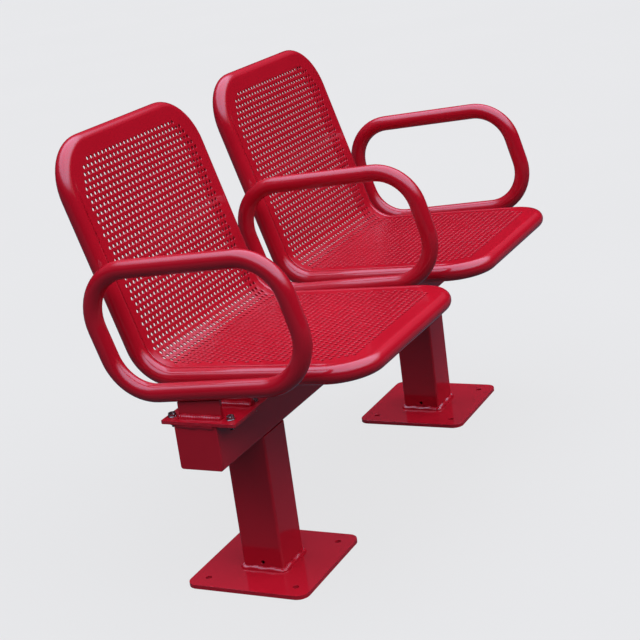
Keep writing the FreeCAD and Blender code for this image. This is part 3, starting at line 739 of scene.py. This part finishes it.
def make_floor_paint():
    material = bpy.data.materials.new("matt_floor_paint")
    material.use_nodes = True
    tree = material.node_tree
    tree.nodes.clear()
    spot = add_node(tree, "ShaderNodeTexCoord", {}).outputs["Object"]
    cloud = add_node(
        tree, "ShaderNodeTexNoise", {"Scale": 1 / (900 * MM), "Detail": 2}, {"Vector": spot},
    )
    tint = add_node(
        tree, "ShaderNodeMix", {"data_type": "RGBA", 6: linear("E6E6E7"), 7: linear("E8E8E9")},
        {0: cloud.outputs[0]},
    )
    shader = add_node(
        tree, "ShaderNodeBsdfPrincipled",
        {
            "Base Color": linear("3C3833"),
            "Roughness": 0.9,
            "Specular IOR Level": 0,
            "Emission Strength": 0.91,
        },
        {"Emission Color": tint.outputs[2]},
    )
    add_node(tree, "ShaderNodeOutputMaterial", {}, {"Surface": shader.outputs[0]})
    return material


bm = bmesh.new()
bmesh.ops.create_grid(bm, x_segments=1, y_segments=1, size=FLOOR_HALF)
floor_mesh = bpy.data.meshes.new("studio_floor")
bm.to_mesh(floor_mesh)
bm.free()
floor_mesh.materials.append(make_floor_paint())
floor = bpy.data.objects.new("studio_floor", floor_mesh)
floor.visible_diffuse = False
floor.visible_glossy = False
bpy.context.scene.collection.objects.link(floor)

# Light
# A soft dome: almost dark at the horizon, with a thin haze above it and bright overhead, a little
# more so to the front, and one broad weak light from the front. The camera sees the dome in the
# colour of the floor. The heights are parts of the dome's radius.
HORIZON = 0.01
HAZE = 0.14
HAZE_START = 0.28
HAZE_FULL = 0.4
OVERHEAD = 4.3
BRIGHT_START = 0.48
BRIGHT_FULL = 0.77
BELOW = 0.15
TOWARDS_BRIGHT = (-0.03, -0.15, 1)
FRONT_LIGHT_WAY = Vector((-0.25, 0.8, -1))
world = bpy.data.worlds.new("soft_dome")
bpy.context.scene.world = world
world.use_nodes = True
tree = world.node_tree
tree.nodes.clear()
way = add_node(tree, "ShaderNodeTexCoord", {}).outputs["Generated"]
height = add_node(tree, "ShaderNodeSeparateXYZ", {}, {0: way}).outputs["Z"]
rise = add_node(
    tree, "ShaderNodeVectorMath", {"operation": "DOT_PRODUCT", 1: TOWARDS_BRIGHT}, {0: way},
).outputs["Value"]
sky = add_node(
    tree, "ShaderNodeMapRange",
    {
        "interpolation_type": "SMOOTHSTEP",
        "From Min": BRIGHT_START,
        "From Max": BRIGHT_FULL,
        "To Min": HORIZON,
        "To Max": OVERHEAD,
    },
    {"Value": rise},
).outputs[0]
haze = add_node(
    tree, "ShaderNodeMapRange",
    {
        "interpolation_type": "SMOOTHSTEP",
        "From Min": HAZE_START,
        "From Max": HAZE_FULL,
        "To Max": HAZE,
    },
    {"Value": height},
).outputs[0]
sky = add_node(tree, "ShaderNodeMath", {"operation": "ADD"}, {0: sky, 1: haze}).outputs[0]
above = add_node(tree, "ShaderNodeMath", {"operation": "GREATER_THAN", 1: 0}, {0: height}).outputs[0]
level = add_node(
    tree, "ShaderNodeMix", {"data_type": "FLOAT", 2: BELOW}, {0: above, 3: sky},
).outputs[0]
seen = add_node(tree, "ShaderNodeLightPath", {}).outputs["Is Camera Ray"]
dome = add_node(tree, "ShaderNodeBackground", {"Color": linear("C9DBFF")}, {"Strength": level})
backdrop = add_node(tree, "ShaderNodeBackground", {"Color": linear("E7E8EA"), "Strength": 1})
mixed = add_node(tree, "ShaderNodeMixShader", {}, {0: seen, 1: dome.outputs[0], 2: backdrop.outputs[0]})
add_node(tree, "ShaderNodeOutputWorld", {}, {"Surface": mixed.outputs[0]})

lamp = bpy.data.lights.new("broad_front_light", "SUN")
lamp.energy = 0.4
lamp.angle = math.radians(70)
front_light = bpy.data.objects.new("broad_front_light", lamp)
front_light.rotation_mode = "QUATERNION"
front_light.rotation_quaternion = FRONT_LIGHT_WAY.to_track_quat("-Z", "Y")
bpy.context.scene.collection.objects.link(front_light)

# Camera
# It stands in front of the left end, a little above head height of a sitter, and leans to one side.
HEADING = math.radians(27.846)
DIP = math.radians(17.497)
LEAN = math.radians(-7.841)
view = bpy.data.cameras.new("camera")
view.sensor_width = 36
view.lens = 85.335
camera = bpy.data.objects.new("camera", view)
camera.location = (-2.64572, -1.35372, 1.29279)
gaze = Vector((math.cos(DIP) * math.cos(HEADING), math.cos(DIP) * math.sin(HEADING), -math.sin(DIP)))
camera.rotation_mode = "QUATERNION"
camera.rotation_quaternion = gaze.to_track_quat("-Z", "Y") @ Quaternion((0, 0, 1), LEAN)
bpy.context.scene.collection.objects.link(camera)
bpy.context.scene.camera = camera
bpy.context.scene.view_settings.view_transform = "Standard"
